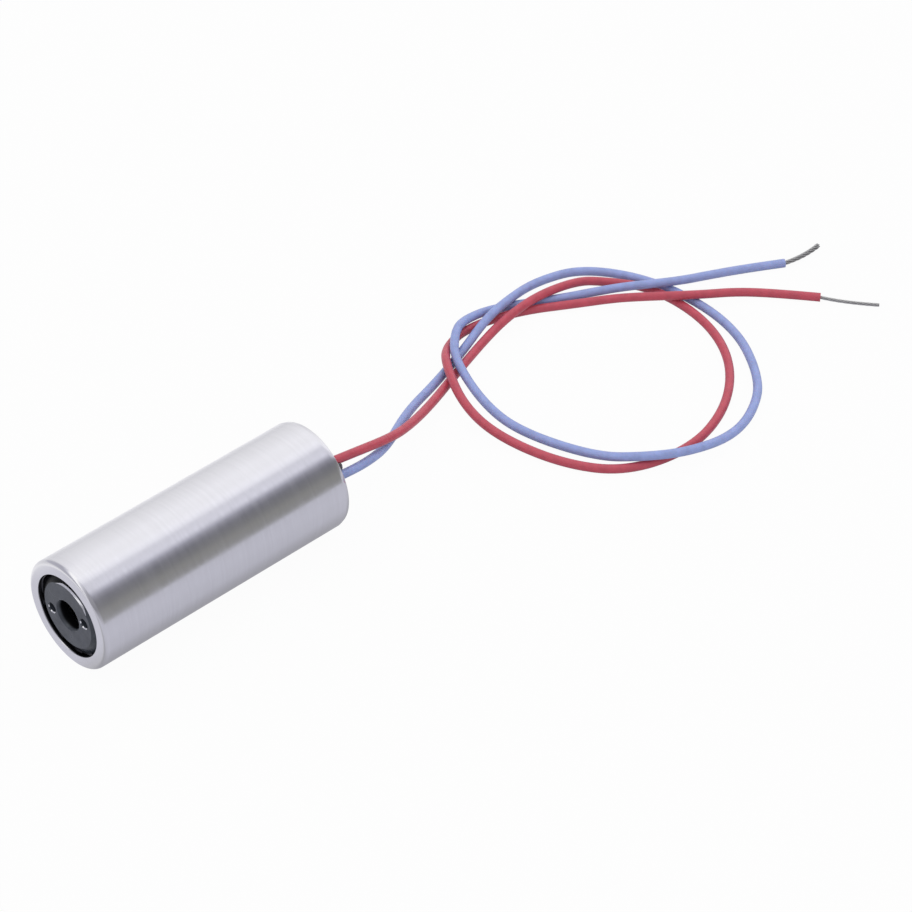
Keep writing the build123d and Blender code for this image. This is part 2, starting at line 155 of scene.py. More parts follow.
BLUE_ROUTE = [
    (0.0008, 0.0085, 0.0035),
    (0.0008, 0.011, 0.0032),
    (0.0006, 0.0138, 0.00275),
    (-0.0005, 0.0167, 0.0019),
    (-0.0031, 0.0209, 0.00105),
    (-0.0048, 0.0253, 0.00033),
    (-0.0062, 0.0293, 0.00033),
    (-0.007, 0.0323, 0.00116),
    (-0.0076, 0.035, 0.00116),
    (-0.0084, 0.0388, 0.00055),
    (-0.0073, 0.0429, 0.00033),
    (-0.002, 0.0458, 0.00033),
    (0.0052, 0.0459, 0.00033),
    (0.0109, 0.0426, 0.00033),
    (0.0132, 0.0392, 0.00039),
    (0.0142, 0.0358, 0.00077),
    (0.0136, 0.0322, 0.00116),
    (0.012, 0.0297, 0.00116),
    (0.0091, 0.0277, 0.0005),
    (0.0035, 0.0258, 0.00044),
    (0.0, 0.0255, 0.0011),
    (-0.0052, 0.0275, 0.0011),
    (-0.0073, 0.0295, 0.00121),
    (-0.0082, 0.0311, 0.00104),
    (-0.0084, 0.0345, 0.00033),
    (-0.0059, 0.0388, 0.00033),
    (-0.0044, 0.041, 0.00066),
    (-0.0029, 0.0427, 0.0011),
    (-0.0007, 0.046, 0.0011),
    (-0.0001, 0.049, 0.0005),
    (0.0011, 0.0518, 0.00033),
    (0.0025, 0.0542, 0.00033),
]
BLUE_TIP = [
    (0.0025, 0.0542, 0.00033),
    (0.0029, 0.0559, 0.00026),
    (0.0026, 0.0578, 0.0002),
]
WIRE_RADIUS = 0.33 * MM
RED_LENGTH = 0.1168
BLUE_LENGTH = 0.1194

# What the metal mirrors: an angle round the tube, in degrees from straight up towards +X, and the
# sky's brightness there, in red and green and then in blue, beside the tube and in front of it.
SIDE_TONES = [
    (-90, 0.87, 0.90),
    (-65, 0.98, 1.01),
    (-35, 1.11, 1.15),
    (-17, 1.08, 1.12),
    (-4, 1.14, 1.20),
    (4, 1.02, 1.10),
    (9, 0.80, 0.88),
    (25, 0.90, 1.00),
    (30, 0.62, 0.72),
    (36, 0.34, 0.40),
    (46, 0.20, 0.23),
    (58, 0.22, 0.23),
    (70, 0.29, 0.28),
    (82, 0.31, 0.31),
    (90, 0.44, 0.46),
]
FRONT_TONES = [
    (-180, 0.85, 0.92),
    (-80, 0.55, 0.62),
    (-47, 0.50, 0.57),
    (-34, 0.75, 0.82),
    (-24, 1.25, 1.25),
    (-8, 1.25, 1.25),
    (6, 0.75, 0.83),
    (28, 0.42, 0.46),
    (60, 0.30, 0.33),
    (88, 0.58, 0.64),
    (180, 0.85, 0.92),
]
# The floor's brightness in the metal, in the same way, at a distance in millimetres along X.
FLOOR_TONES = [
    (-40, 0.87, 0.91),
    (-21, 0.95, 0.99),
    (-11, 1.12, 1.15),
    (-9.4, 1.05, 1.10),
    (-8, 0.76, 0.85),
    (0, 0.77, 0.87),
    (1.5, 0.62, 0.66),
    (2.6, 0.41, 0.45),
    (3.7, 0.46, 0.51),
    (6, 0.62, 0.71),
    (12, 0.66, 0.76),
    (40, 0.64, 0.74),
]
BRIGHTEST_TONE = 1.25
# How far along Y a mirrored direction points when SIDE_TONES alone give its tone.
SIDE_LIMIT = 0.44
WHITE = (1, 1, 1, 1)

# Kinds of number in the panel.
SHARE = {"subtype": "FACTOR", "min": 0, "max": 1}
BRIGHTNESS = {"min": 0, "max": 4}
LENGTH = {"unit": "LENGTH"}
ANGLE = {"subtype": "ANGLE", "unit": "ROTATION"}
FOCAL_LENGTH = {"subtype": "DISTANCE_CAMERA", "unit": "CAMERA", "min": 1, "max": 500}

# The part of its range that a noise mostly keeps to.
GRAIN_LOW = 0.3
GRAIN_HIGH = 0.7


def colour_setting(name, description, default):
    """A colour in the panel."""
    return FloatVectorProperty(
        name=name, description=description, default=default, subtype="COLOR", size=3, min=0, max=1
    )


def number_setting(name, description, default, kind):
    """A number in the panel."""
    return FloatProperty(name=name, description=description, default=default, **kind)


class LaserModuleTube(bpy.types.PropertyGroup):
    """Sizes and finish of the turned tube."""

    metal_colour: colour_setting("Metal colour", "Colour of the turned metal", (0.74, 0.735, 0.755))
    metal_roughness: number_setting(
        "Metal roughness", "Roughness of the turned metal between its tool rings", 0.16, SHARE
    )
    thread_pitch: number_setting(
        "Thread pitch", "Distance between two turns of the focusing thread", 0.5 * MM, LENGTH
    )
    bore_thread_depth: number_setting(
        "Bore thread depth", "Depth of the thread cut into the tube's front bore", 0.17 * MM, LENGTH
    )
    barrel_thread_depth: number_setting(
        "Barrel thread depth", "Depth of the thread cut into the focusing barrel", 0.17 * MM, LENGTH
    )
    segments: IntProperty(
        name="Segments",
        description="Number of flats round each turned piece",
        default=160,
        min=24,
        max=512,
    )


class LaserModuleBarrel(bpy.types.PropertyGroup):
    """Sizes and finish of the focusing barrel and its lens."""

    anodised_colour: colour_setting(
        "Anodised colour", "Colour of the black anodised barrel", (0.040, 0.047, 0.062)
    )
    hole_angle: number_setting(
        "Spanner hole angle",
        "Turn of the two spanner holes about the tube's axis",
        math.radians(13.5),
        ANGLE,
    )
    hole_reach: number_setting(
        "Spanner hole reach", "Distance of each spanner hole from the tube's axis", 1.74 * MM, LENGTH
    )
    hole_radius: number_setting(
        "Spanner hole radius", "Radius of each spanner hole", 0.35 * MM, LENGTH
    )
    coating_colour: colour_setting(
        "Lens coating", "Tint of the lens's antireflection coating", (0.80, 0.84, 0.95)
    )


class LaserModuleWires(bpy.types.PropertyGroup):
    """Colours and strands of the two wires."""

    red_colour: colour_setting(
        "Red insulation", "Colour of the positive wire's insulation", (0.51, 0.070, 0.106)
    )
    blue_colour: colour_setting(
        "Blue insulation", "Colour of the negative wire's insulation", (0.29, 0.355, 0.67)
    )
    strand_radius: number_setting(
        "Strand radius", "Radius of one strand of a bare tip", 0.052 * MM, LENGTH
    )
    strand_lay: number_setting(
        "Strand lay", "Length in which a bare tip's strands make one turn", 3.2 * MM, LENGTH
    )


class LaserModuleStage(bpy.types.PropertyGroup):
    """Floor, light and camera."""

    floor_colour: colour_setting("Floor colour", "Colour of the floor", (0.62, 0.62, 0.63))
    floor_whiteness: number_setting(
        "Floor whiteness", "Share of plain white in the floor that the camera sees", 0.96, SHARE
    )
    floor_shine: number_setting(
        "Mirrored floor", "Share of the studio's own tones in the floor that the metal mirrors", 0.8, SHARE
    )
    sky_top: number_setting(
        "Light from above", "Brightness of the light from straight above", 1.3, BRIGHTNESS
    )
    sky_side: number_setting(
        "Light from the sides", "Brightness of the light near the floor", 0.5, BRIGHTNESS
    )
    camera_lens: number_setting(
        "Focal length", "Focal length on a 36 mm wide sensor, in millimetres", 137.79, FOCAL_LENGTH
    )
    camera_azimuth: number_setting(
        "Camera azimuth",
        "Turn of the camera about the vertical, from straight in front of the lens",
        math.radians(46.83),
        ANGLE,
    )
    camera_elevation: number_setting(
        "Camera elevation",
        "Height of the camera above the floor, as an angle",
        math.radians(39.71),
        ANGLE,
    )
    camera_location: FloatVectorProperty(
        name="Camera place",
        description="Place of the camera",
        default=(0.13910, -0.10769, 0.15627),
        subtype="TRANSLATION",
        unit="LENGTH",
        size=3,
        precision=5,
    )


# Mesh helpers


def add_object(name, data):
    """Puts a mesh, curve, lamp or camera in the scene as an object."""
    piece = bpy.data.objects.new(name, data)
    bpy.context.scene.collection.objects.link(piece)
    return piece


def plain_mesh(name, points, faces):
    """Mesh from its points and faces."""
    mesh = bpy.data.meshes.new(name)
    mesh.from_pydata(points, [], faces)
    return mesh


def mark_sharp_edges(mesh, limit=34):
    """Shades a mesh smooth, apart from edges that bend by more than a limit in degrees."""
    bm = bmesh.new()
    bm.from_mesh(mesh)
    bmesh.ops.remove_doubles(bm, verts=bm.verts, dist=1e-7)
    bmesh.ops.recalc_face_normals(bm, faces=bm.faces)
    for face in bm.faces:
        face.smooth = True
    for edge in bm.edges:
        if len(edge.link_faces) == 2:
            edge.smooth = edge.calc_face_angle(0) < math.radians(limit)
    bm.to_mesh(mesh)
    bm.free()
    return mesh


def ring_faces(first, rings, sides):
    """Faces between rings of points; first is the number of the first ring's first point."""
    faces = []
    for ring in range(rings - 1):
        here = first + ring * sides
        for corner in range(sides):
            after = (corner + 1) % sides
            faces.append((here + corner, here + after, here + sides + after, here + sides + corner))
    return faces


def turned_point(angle, station, radius):
    """Point at an angle round the tube's axis, from +X towards +Z."""
    return (radius * math.cos(angle), station, AXIS_HEIGHT + radius * math.sin(angle))


def turned_mesh(name, outline, segments, bright=lambda row, angle: False):
    """Closed mesh turned about the tube's axis; outline gives (station, radius) rows for an angle.

    Faces that bright picks take the mesh's second material.
    """
    columns = [outline(math.tau * index / segments) for index in range(segments)]
    rows = len(columns[0])
    points = []
    for index, column in enumerate(columns):
        angle = math.tau * index / segments
        points += [turned_point(angle, station, radius) for station, radius in column]
    faces = []
    for index in range(segments):
        here = index * rows
        there = (index + 1) % segments * rows
        for row in range(rows):
            after = (row + 1) % rows
            faces.append((here + row, here + after, there + after, there + row))
    mesh = plain_mesh(name, points, faces)
    for face in mesh.polygons:
        index, row = divmod(face.index, rows)
        face.material_index = int(bright(row, math.tau * index / segments))
    return mark_sharp_edges(mesh)


def arc_rows(centre, radius, start, end, steps):
    """Rows along a rounded edge: its centre is (station, radius), its angles are in degrees."""
    rows = []
    for step in range(steps + 1):
        turn = math.radians(start + (end - start) * step / steps)
        rows.append((centre[0] + radius * math.cos(turn), centre[1] + radius * math.sin(turn)))
    return rows


def thread_rows(start, end, crest, depth, pitch, angle, steps=10):
    """Rows along a right-hand thread that runs out at both ends; depth is negative in a bore."""
    flank_slope, groove_width = 5.2, 1.9
    run_in, run_out = pitch * 0.35, pitch * 0.6
    rows = []
    count = round((end - start) / pitch * steps)
    for step in range(count + 1):
        station = start + (end - start) * step / count
        phase = (station / pitch - angle / math.tau) % 1
        groove = min(1, max(0, groove_width - flank_slope * abs(phase - 0.5)))
        cut_depth = min(1, (station - start) / run_in, (end - station) / run_out)
        rows.append((station, crest - depth * groove * max(0, cut_depth)))
    return rows


def cut(piece, cutter):
    """Cuts one mesh object out of another."""
    modifier = piece.modifiers.new("cut", "BOOLEAN")
    modifier.operation = "DIFFERENCE"
    modifier.solver = "EXACT"
    modifier.object = cutter
    graph = bpy.context.evaluated_depsgraph_get()
    mesh = bpy.data.meshes.new_from_object(piece.evaluated_get(graph), depsgraph=graph)
    piece.modifiers.clear()
    piece.data = mesh
    bpy.data.objects.remove(cutter)


def finished(piece, materials, body, slot, *nodes):
    """Gives a piece its finish and its body, and hides the CAD nodes that it stands for."""
    for material in materials:
        piece.data.materials.append(material)
    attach(piece, body)
    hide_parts(*nodes)


def finish_node(name, material):
    """Gives a CAD node its material."""
    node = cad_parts[name]
    node.data.materials.clear()
    node.data.materials.append(material)
    for face in node.data.polygons:
        face.material_index = 0


# Materials


def shade(colour, share):
    """A colour made darker or lighter."""
    return tuple(min(1.0, part * share) for part in colour)


class Tree:
    """A material's or the world's node tree, and short ways to add nodes to it."""

    def __init__(self, owner):
        owner.use_nodes = True
        self.tree = owner.node_tree

    def join(self, value, socket):
        """Links a socket to another, or sets it to a value."""
        if isinstance(value, bpy.types.NodeSocket):
            self.tree.links.new(value, socket)
        else:
            socket.default_value = value

    def node(self, kind, *inputs, **values):
        """Adds a node: first inputs come in order, other inputs and settings by name."""
        node = self.tree.nodes.new(kind)
        for socket, value in zip(node.inputs, inputs):
            self.join(value, socket)
        for name, value in values.items():
            if hasattr(node, name):
                setattr(node, name, value)
            else:
                self.join(value, node.inputs[name.replace("_", " ")])
        return node

    def maths(self, operation, *inputs):
        return self.node("ShaderNodeMath", *inputs, operation=operation).outputs[0]

    def between(self, factor, low, high, source_low=0.0, source_high=1.0):
        """Maps a factor onto a range."""
        node = self.node("ShaderNodeMapRange", factor, source_low, source_high, low, high)
        return node.outputs["Result"]

    def blend(self, factor, first, second):
        """Colour between two others."""
        node = self.node("ShaderNodeMix", factor, data_type="RGBA")
        for socket, value in ((node.inputs[6], first), (node.inputs[7], second)):
            self.join(value if isinstance(value, bpy.types.NodeSocket) else (*value, 1), socket)
        return node.outputs[2]

    def mix(self, share, first, second):
        """Shader between two others."""
        return self.node("ShaderNodeMixShader", share, first, second).outputs[0]

    def glow(self, kind, colour, strength):
        """Light of a colour, from an emission or background shader."""
        return self.node(kind, colour, strength).outputs[0]

    def tones(self, value, stops):
        """Colour that follows a value through tones, as a share of the brightest."""
        low, high = stops[0][0], stops[-1][0]
        ramp = self.node("ShaderNodeValToRGB", self.between(value, 0, 1, low, high))
        elements = ramp.color_ramp.elements
        while len(elements) < len(stops):
            elements.new(1.0)
        for element, stop in zip(elements, stops):
            element.position = (stop[0] - low) / (high - low)
        for element, (_, grey, blue) in zip(elements, stops):
            element.color = (*[part / BRIGHTEST_TONE for part in (grey, grey, blue)], 1)
        return ramp.outputs["Color"]


class Finish(Tree):
    """A material with one Principled shader."""

    def __init__(self, name, colour, roughness, metallic=0.0, **settings):
        self.material = bpy.data.materials.new(name)
        super().__init__(self.material)
        self.shader = self.tree.nodes["Principled BSDF"]
        self.drive("Base Color", (*colour, 1))
        self.drive("Roughness", roughness)
        self.drive("Metallic", metallic)
        for socket, value in settings.items():
            self.drive(socket.replace("_", " "), value)
        self.material.diffuse_color = (*colour, 1)

    def drive(self, socket, value):
        """Sets an input of the shader, or links it."""
        self.join(value, self.shader.inputs[socket])

    def place(self, scale):
        """Coordinates on the piece, in metres times a scale per axis."""
        coordinates = self.node("ShaderNodeTexCoord").outputs["Object"]
        return self.node("ShaderNodeMapping", Vector=coordinates, Scale=scale).outputs["Vector"]

    def axis(self, name):
        """One coordinate on the piece, in millimetres."""
        return self.node("ShaderNodeSeparateXYZ", self.place(MILLIMETRES)).outputs[name]

    def reach(self):
        """Distance from the tube's axis, in millimetres."""
        height = self.maths("SUBTRACT", self.axis("Z"), AXIS_HEIGHT / MM)
        across, up = self.maths("POWER", self.axis("X"), 2), self.maths("POWER", height, 2)
        return self.maths("SQRT", self.maths("ADD", across, up))

    def grain(self, scale, detail=3.0, rough=0.55, stretch=(1, 1, 1)):
        """Noise, with scale in waves per millimetre and stretch per axis."""
        place = self.place([scale / MM * share for share in stretch])
        node = self.node("ShaderNodeTexNoise", Vector=place, Scale=1, Detail=detail, Roughness=rough)
        return node.outputs["Fac"]

    def mottle(self, grain, colour, dark, light, low=GRAIN_LOW, high=GRAIN_HIGH):
        """Colour that a grain varies between a darker and a lighter shade."""
        return self.blend(self.between(grain, 0, 1, low, high), shade(colour, dark), shade(colour, light))

    def polish(self, grain, low, high):
        """Roughness that a grain varies between two values."""
        self.drive("Roughness", self.between(grain, low, high, GRAIN_LOW, GRAIN_HIGH))

    def bump(self, height, distance):
        """Relief, with its depth in millimetres."""
        node = self.node("ShaderNodeBump", Height=height, Distance=distance * MM)
        self.drive("Normal", node.outputs["Normal"])


def grained(name, colour, roughness, metallic, grain, shades, polish, relief, **settings):
    """Finish whose colour, roughness and relief all follow one grain."""
    finish = Finish(name, colour, roughness, metallic, **settings)
    skin = finish.grain(*grain)
    finish.drive("Base Color", finish.mottle(skin, colour, *shades))
    finish.polish(skin, *polish)
    finish.bump(skin, relief)
    return finish.material


def turned_metal(colour, roughness):
    """Bright metal with the fine rings that a lathe tool leaves, and painted shade that darkens the thread
    in its bore.
    """
    finish = Finish("turned_metal", colour, roughness, 1.0)
    rings = finish.grain(9.0, 4.0, 0.7, (0.02, 1.0, 0.02))
    streaks = finish.grain(2.2, 3.0, 0.6, (0.05, 1.0, 0.05))
    metal = finish.mottle(rings, colour, 0.97, 1.025)
    bore, face = BORE_RADIUS / MM, TUBE_LOW.y / MM
    # Painted shade: inside the bore, behind its front edge, the metal is coloured near black.
    inside = finish.between(finish.reach(), 1, 0, bore + 0.18, bore + 0.22)
    behind = finish.between(finish.axis("Y"), 0, 1, face + 0.03, face + 0.07)
    painted_bore_shade = finish.maths("MULTIPLY", inside, behind)
    finish.drive("Base Color", finish.blend(painted_bore_shade, metal, (0.03, 0.03, 0.034)))
    finish.polish(streaks, roughness * 0.75, roughness * 1.45)
    finish.bump(finish.maths("ADD", rings, streaks), 0.0011)
    return finish.material


def black_anodised(colour):
    """Black anodised aluminium with turning rings, and painted shade: near black in its aperture and on
    its far edge, where no light reaches.
    """
    finish = Finish("black_anodised", colour, 0.34, Specular_IOR_Level=0.6)
    rings = finish.grain(7.0, 3.0, 0.6, (0.2, 1.0, 0.2))
    cloud = finish.grain(1.4, 3.0, 0.6)
    face = finish.mottle(cloud, colour, 0.85, 1.2)
    reach = finish.reach()
    aperture, edge = APERTURE_RADIUS / MM, BARREL_FACE_RADIUS / MM
    # Painted shade: inside the aperture, and past the face's edge away from the lit +X side, the colour is
    # near black with little specular.
    inner = finish.between(reach, 0, 1, aperture + 0.04, aperture + 0.1)
    outer = finish.between(reach, 1, 0, edge, edge + 0.06)
    lit = finish.between(finish.axis("X"), 0, 1, 0.6, 1.3)
    clear_of_painted_shade = finish.maths("MULTIPLY", inner, finish.maths("MAXIMUM", outer, lit))
    finish.drive("Base Color", finish.blend(clear_of_painted_shade, (0.002, 0.002, 0.003), face))
    finish.drive("Specular IOR Level", finish.between(clear_of_painted_shade, 0.1, 0.5))
    finish.polish(rings, 0.26, 0.44)
    finish.bump(rings, 0.004)
    return finish.material


def bare_edge_wear_and_glint(colour=(0.78, 0.78, 0.80)):
    """Bare aluminium where the black anodising has worn off an edge; put only where a highlight falls, so
    partly a painted highlight.
    """
    scuffs = (12.0, 3.0, 0.6)
    return grained("bare_edge_wear_and_glint", colour, 0.14, 1.0, scuffs, (0.8, 1.1), (0.1, 0.2), 0.003)


def coated_glass(colour):
    """Clear lens glass with a faint bluish coating."""
    finish = Finish("coated_glass", colour, 0.02, IOR=1.6, Transmission_Weight=1.0, Coat_Weight=0.3)
    finish.polish(finish.grain(3.0, 2.0), 0.01, 0.05)
    return finish.material


def brass(colour=(0.72, 0.53, 0.22)):
    """Machined brass."""
    rings = (8.0, 3.0, 0.6, (0.03, 1.0, 0.03))
    return grained("machined_brass", colour, 0.25, 1.0, rings, (0.85, 1.08), (0.18, 0.36), 0.003)


def spring_wire(colour=(0.56, 0.56, 0.58)):
    """Drawn spring wire with faint die lines."""
    lines = (6.0, 2.0, 0.5, (1.0, 0.4, 1.0))
    return grained("drawn_spring_wire", colour, 0.24, 1.0, lines, (0.82, 1.1), (0.18, 0.36), 0.002)


def plated(name, colour, roughness):
    """Plated metal: even, with a slightly pebbled skin."""
    finish = Finish(name, colour, roughness, 1.0)
    skin = finish.grain(11.0, 3.0, 0.6)
    cloud = finish.grain(1.2, 2.0, 0.5)
    finish.drive("Base Color", finish.mottle(cloud, colour, 0.9, 1.05))
    finish.polish(skin, roughness * 0.8, roughness * 1.4)
    finish.bump(skin, 0.003)
    return finish.material


def fused_glass(colour=(0.10, 0.20, 0.24)):
    """Dark greenish glass of the lead seals, with tiny bubbles."""
    finish = Finish("fused_seal_glass", colour, 0.12, IOR=1.52, Coat_Weight=0.5)
    place = finish.place((9 / MM, 9 / MM, 9 / MM))
    distance = finish.node("ShaderNodeTexVoronoi", Vector=place, Scale=1).outputs["Distance"]
    spots = finish.between(distance, 1, 0, 0.05, 0.22)
    finish.drive("Base Color", finish.blend(spots, colour, shade(colour, 2.2)))
    finish.bump(distance, 0.002)
    return finish.material


def sintered(name, colour, roughness=0.62):
    """Sintered ceramic: matte and finely grained."""
    grains, polish = (22.0, 3.0, 0.65), (roughness - 0.1, roughness + 0.12)
    return grained(name, colour, roughness, 0.0, grains, (0.88, 1.08), polish, 0.004)


def crystal(colour=(0.10, 0.10, 0.14), oxide=(0.16, 0.13, 0.24)):
    """Polished semiconductor with a thin bluish oxide."""
    finish = Finish("polished_crystal", colour, 0.14, 0.55, Coat_Weight=0.6)
    sheen = finish.grain(4.0, 2.0, 0.5)
    finish.drive("Base Color", finish.blend(finish.between(sheen, 0, 1, 0.35, 0.65), colour, oxide))
    finish.polish(sheen, 0.08, 0.22)
    return finish.material


def solder_mask(colour=(0.018, 0.16, 0.06), over_copper=(0.035, 0.27, 0.10)):
    """Green solder mask over copper tracks."""
    finish = Finish("solder_mask", colour, 0.36, Coat_Weight=0.35)
    tracks = finish.node(
        "ShaderNodeTexBrick",
        Vector=finish.place(MILLIMETRES),
        Scale=1,
        Mortar_Size=0.09,
        Mortar_Smooth=0.35,
        Brick_Width=1.3,
        Row_Height=0.75,
        offset=0.5,
    )
    copper = tracks.outputs["Fac"]
    weave = finish.grain(14.0, 2.0, 0.5)
    mask = finish.mottle(weave, colour, 0.8, 1.15)
    finish.drive("Base Color", finish.blend(copper, mask, over_copper))
    finish.bump(finish.maths("ADD", copper, finish.maths("MULTIPLY", weave, 0.1)), 0.03)
    return finish.material


def moulded_plastic(colour=(0.022, 0.022, 0.025)):
    """Black moulding compound with a matte spark-eroded grain."""
    grains = (16.0, 4.0, 0.65)
    return grained("moulding_compound", colour, 0.55, 0.0, grains, (0.75, 1.5), (0.45, 0.7), 0.008)


def capped_chip(name, colour, box, cap_length, cap_colour=(0.68, 0.67, 0.66)):
    """Ceramic chip with tinned caps over its two ends along Y."""
    finish = Finish(name, colour, 0.5)
    low, high = box
    middle, half_length = (low.y + high.y) / 2, (high.y - low.y) / 2
    along = finish.maths("ABSOLUTE", finish.maths("SUBTRACT", finish.axis("Y"), middle / MM))
    edge = (half_length - cap_length) / MM
    capped = finish.between(along, 0, 1, edge - 0.01, edge + 0.01)
    grains = finish.grain(18.0, 3.0, 0.6)
    ceramic = finish.mottle(grains, colour, 0.85, 1.15)
    finish.drive("Base Color", finish.blend(capped, ceramic, cap_colour))
    finish.drive("Metallic", capped)
    finish.drive("Roughness", finish.between(capped, 0.5, 0.3))
    finish.bump(finish.maths("ADD", grains, finish.maths("MULTIPLY", capped, 4.0)), 0.006)
    return finish.material


def tinned(colour=(0.52, 0.515, 0.50)):
    """Tinned copper or solder: bright, with soft frosted patches."""
    frost = (5.0, 4.0, 0.65)
    return grained("tinned_metal", colour, 0.3, 1.0, frost, (0.78, 1.08), (0.2, 0.46), 0.006)


def cast_resin(colour=(0.014, 0.014, 0.016)):
    """Black cast resin: glossy, slightly wavy, with specks of dust."""
    finish = Finish("cast_resin", colour, 0.16, Coat_Weight=0.4)
    waves = finish.grain(1.1, 2.0, 0.5)
    dust = finish.grain(26.0, 2.0, 0.5)
    finish.drive("Base Color", finish.mottle(dust, colour, 0.8, 2.4, 0.45, 0.75))
    finish.polish(waves, 0.1, 0.26)
    finish.bump(waves, 0.03)
    return finish.material


def insulation(name, colour):
    """Extruded plastic insulation: satin, with faint die lines and slight mottling."""
    finish = Finish(name, colour, 0.38, Subsurface_Weight=0.08, Subsurface_Scale=0.4 * MM)
    mottle = finish.grain(1.6, 3.0, 0.6)
    fine = finish.grain(14.0, 2.0, 0.5)
    finish.drive("Base Color", finish.mottle(mottle, colour, 0.9, 1.1))
    finish.polish(fine, 0.3, 0.48)
    finish.bump(finish.maths("ADD", finish.maths("MULTIPLY", mottle, 2.0), fine), 0.006)
    return finish.material


# Pieces


def wire_curve(name, route, radius):
    """Smooth wire along its route."""
    curve = bpy.data.curves.new(name, "CURVE")
    curve.dimensions = "3D"
    curve.resolution_u = 10
    curve.bevel_depth = radius
    curve.bevel_resolution = 6
    curve.use_fill_caps = True
    spline = curve.splines.new("NURBS")
    spline.points.add(len(route) - 1)
    for point, place in zip(spline.points, route):
        point.co = (*place, 1)
    spline.order_u = 3
    spline.use_endpoint_u = True
    return add_object(name, curve)


def route_points(route):
    """Points along a route's smooth line."""
    guide = wire_curve("guide", route, 0)
    graph = bpy.context.evaluated_depsgraph_get()
    mesh = bpy.data.meshes.new_from_object(guide.evaluated_get(graph), depsgraph=graph)
    points = [vertex.co.copy() for vertex in mesh.vertices]
    bpy.data.meshes.remove(mesh)
    bpy.data.objects.remove(guide)
    return points


def round_wire(points, faces, centres, sides, radius):
    """Adds a wire of round section to a mesh; centres gives (point, two directions across)."""
    first = len(points)
    for centre, right, up in centres:
        for corner in range(sides):
            bearing = math.tau * corner / sides
            offset = (right * math.cos(bearing) + up * math.sin(bearing)) * radius
            points.append(tuple(centre + offset))
    last = len(points) - sides
    faces += ring_faces(first, len(centres), sides)
    faces.append(tuple(range(first, first + sides)))
    faces.append(tuple(range(last, last + sides)))


def spring_mesh(steps=96, sides=12):
    """Round wire wound into the focus spring, between the lens barrel and the tube's web."""
    end_gap = SPRING_WIRE_RADIUS + 0.02 * MM
    front, back = SPRING_LOW.y + end_gap, SPRING_HIGH.y - end_gap
    climb = (back - front) / (math.tau * SPRING_TURNS * SPRING_RADIUS)
    centres = []
    for step in range(steps + 1):
        turn = math.tau * SPRING_TURNS * step / steps
        outward = Vector((math.cos(turn), 0, math.sin(turn)))
        along = Vector((-math.sin(turn), climb, math.cos(turn))).normalized()
        centre = Vector(turned_point(turn, front + (back - front) * step / steps, SPRING_RADIUS))
        centres.append((centre, outward, along.cross(outward)))
    points, faces = [], []
    round_wire(points, faces, centres, sides, SPRING_WIRE_RADIUS)
    return mark_sharp_edges(plain_mesh("wound_spring", points, faces), 50)


def strand_mesh(name, route, strand_radius, lay, spread, sides=8):
    """Six strands twisted round a seventh along a route; spread opens them towards the cut end."""
    sunk = 0.4 * MM
    spacing = 1.93 * strand_radius
    line = route_points(route)
    line.insert(0, line[0] - (line[1] - line[0]).normalized() * sunk)
    lengths = [0.0]
    for before, after in zip(line, line[1:]):
        lengths.append(lengths[-1] + (after - before).length)
    side = Vector((0, 0, 1))
    frames = []
    for index, here in enumerate(line):
        ahead = line[min(index + 1, len(line) - 1)] - line[max(index - 1, 0)]
        ahead.normalize()
        side = (side - ahead * side.dot(ahead)).normalized()
        frames.append((here, side.copy(), ahead.cross(side)))
    points, faces = [], []
    outer = 6
    for strand in range(outer + 1):
        centres = []
        for length, (here, up, across) in zip(lengths, frames):
            opened = 1 + (spread - 1) * length / lengths[-1]
            turn = math.tau * (length / lay + strand / outer)
            offset = 0 if strand == outer else spacing * opened
            centre = here + (up * math.cos(turn) + across * math.sin(turn)) * offset
            centres.append((centre, up, across))
        round_wire(points, faces, centres, sides, strand_radius)
    return mark_sharp_edges(plain_mesh(name, points, faces), 50)


def tube_outline(settings):
    """Rows of the tube's outline: front face, outside, rear rim, bores and thread."""
    front, rear = TUBE_LOW.y, TUBE_HIGH.y
    seat_back = STEM_HIGH.y + 0.3 * MM
    rounding, front_lip, bore_bevel = 0.3 * MM, 0.1 * MM, 0.04 * MM
    chamfer, chamfer_depth, soft = 0.34 * MM, 0.08 * MM, 0.03 * MM
    corner, corner_centre, rim_bevel = 0.06 * MM, TUBE_RADIUS - 0.15 * MM, 0.05 * MM
    runout_radius, runout_front = BORE_RADIUS + 0.2 * MM, WEB_FRONT - 0.6 * MM
    thread_front, thread_back = front + 0.14 * MM, WEB_FRONT - 0.8 * MM
    depth, pitch = settings.bore_thread_depth, settings.thread_pitch
    bands = 12

    def rows(angle):
        outline = [(front, BORE_RADIUS + bore_bevel), (front, TUBE_RADIUS - rounding - front_lip)]
        outline += arc_rows((front + rounding, TUBE_RADIUS - rounding), rounding, 180, 90, 8)
        for band in range(1, bands):
            outline.append((front + (rear - front) * band / bands, TUBE_RADIUS))
        outline += [(rear - chamfer - soft, TUBE_RADIUS), (rear - chamfer, TUBE_RADIUS)]
        outline += [(rear - chamfer + soft, TUBE_RADIUS - 0.1 * chamfer_depth)]
        outline += [(rear - corner, TUBE_RADIUS - chamfer_depth)]
        outline += arc_rows((rear - corner, corner_centre), corner, 72, 0, 3)
        outline += [(rear, REAR_BORE_RADIUS + rim_bevel), (rear - rim_bevel, REAR_BORE_RADIUS)]
        outline += [(seat_back, REAR_BORE_RADIUS), (seat_back, FLANGE_RADIUS)]
        outline += [(FLANGE_FRONT, FLANGE_RADIUS), (FLANGE_FRONT, WEB_HOLE_RADIUS)]
        outline += [(WEB_FRONT, WEB_HOLE_RADIUS), (WEB_FRONT, runout_radius)]
        outline += [(runout_front, runout_radius)]
        outline += reversed(thread_rows(thread_front, thread_back, BORE_RADIUS, -depth, pitch, angle))
        return outline

    return rows


